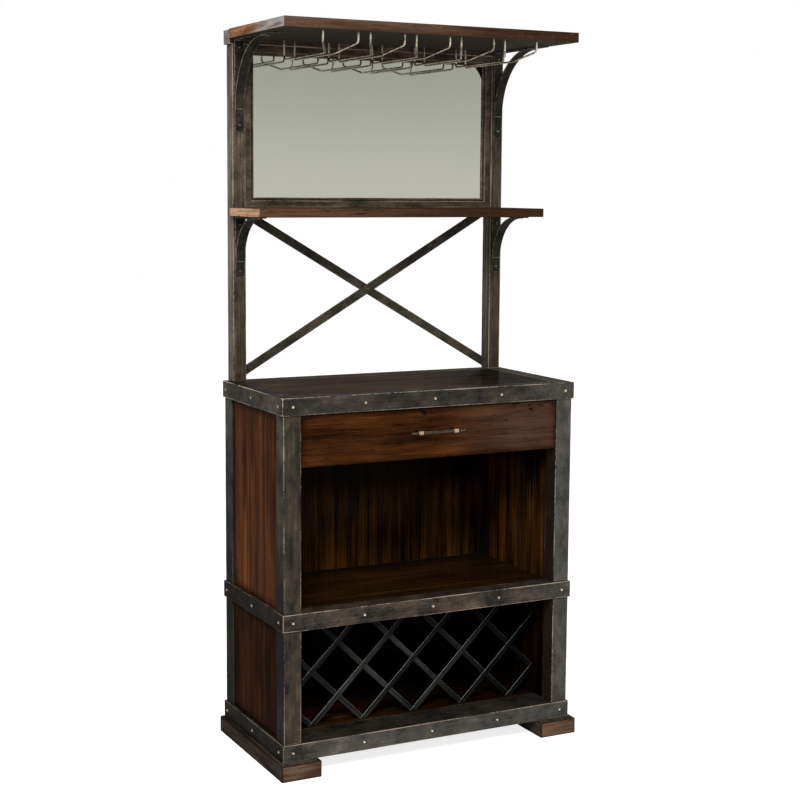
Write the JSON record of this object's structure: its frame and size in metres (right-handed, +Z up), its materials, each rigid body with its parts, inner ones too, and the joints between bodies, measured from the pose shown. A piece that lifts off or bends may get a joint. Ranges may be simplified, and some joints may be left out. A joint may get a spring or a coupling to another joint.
{
  "type": "drinks cabinet",
  "caption": "Drinks cabinet: riveted bands, one drawer, open bay and bottle lattice below; mirror, shelves, crossed brace and stemware rack above.",
  "frame": {"origin": "centre of the footprint, on the floor", "axes": "+Z up, the front faces -Y, +X to the right"},
  "size_m": [0.938, 0.4785, 2.038],
  "materials": {
    "iron_look_paint": "satin, distressed iron-look paint on wood",
    "plank_stain": "satin red-brown stain, vertical planks",
    "deck_stain": "glossy dark brown stain",
    "shelf_stain": "satin red-brown stain",
    "drawer_stain": "satin red-brown stain, rough-sawn marks",
    "runner_stain": "satin brown stain, worn edges",
    "black_stain": "matt black-brown stain",
    "slat_paint": "satin dark grey paint, worn edges",
    "box_wood": "clear-lacquered pale hardwood",
    "backing_board": "plain hardboard",
    "black_iron": "satin black-brown paint, rubbed edges",
    "rack_bronze": "satin dark bronze",
    "aged_brass": "aged brass",
    "copper_collar": "aged copper plate",
    "pull_bronze": "satin dark bronze",
    "slide_zinc": "zinc plate",
    "mirror_silver": "plain mirror"
  },
  "bodies": {
    "cabinet": {"bottom_front_rail": "iron_look_paint", "bottom_back_rail": "iron_look_paint", "bottom_side_rails": "iron_look_paint", "bottom_panel": "deck_stain", "middle_front_rail": "iron_look_paint", "middle_back_rail": "iron_look_paint", "middle_side_rails": "iron_look_paint", "middle_panel": "deck_stain", "counter_front_rail": "iron_look_paint", "counter_back_rail": "iron_look_paint", "counter_side_rails": "iron_look_paint", "counter_panel": "deck_stain", "left_runner": "runner_stain", "right_runner": "runner_stain", "lower_front_posts": "iron_look_paint", "lower_back_posts": "iron_look_paint", "lower_side_panels": "plank_stain", "lower_liners": "plank_stain", "upper_front_posts": "iron_look_paint", "upper_back_posts": "iron_look_paint", "upper_side_panels": "plank_stain", "upper_liners": "plank_stain", "upper_back_panel": "plank_stain", "lower_back_panel": "black_stain", "band_rivets": "aged_brass", "front_lattice_rising_slats": "slat_paint", "front_lattice_falling_slats": "slat_paint", "rear_lattice_rising_slats": "slat_paint", "rear_lattice_falling_slats": "slat_paint", "slide_cabinet_members": "slide_zinc", "left_upright": "iron_look_paint", "right_upright": "iron_look_paint", "top_back_rail": "iron_look_paint", "mid_back_rail": "iron_look_paint", "top_shelf": "shelf_stain", "mid_shelf": "shelf_stain", "mirror_frame": "iron_look_paint", "mirror_glass": "mirror_silver", "mirror_backing": "backing_board", "top_left_bracket": "black_iron", "top_right_bracket": "black_iron", "mid_left_bracket": "black_iron", "mid_right_bracket": "black_iron", "brace_rising": "black_iron", "brace_falling": "black_iron", "hutch_screws": "black_iron", "hutch_straps": "black_iron", "stemware_wires": "rack_bronze"},
    "drawer": {"drawer_front": "drawer_stain", "drawer_left_side": "box_wood", "drawer_right_side": "box_wood", "drawer_back": "box_wood", "drawer_bottom": "box_wood", "pull_bar": "pull_bronze", "pull_collars": "copper_collar", "pull_posts": "pull_bronze", "pull_screws": "slide_zinc", "slide_drawer_members": "slide_zinc"},
    "slide_carriage": {"slide_middle_members": "slide_zinc"}
  },
  "joints": [
    {"name": "drawer_slide", "type": "slide", "parent": "cabinet", "child": "drawer", "axis": [0, -1, 0], "range_m": [0, 0.3]},
    {"name": "slide_carriage_travel", "type": "slide", "parent": "cabinet", "child": "slide_carriage", "axis": [0, -1, 0], "range_m": [0, 0.15]}
  ],
  "couplings": [
    {"joint": "slide_carriage_travel", "follows": "drawer_slide", "ratio": 0.5}
  ]
}
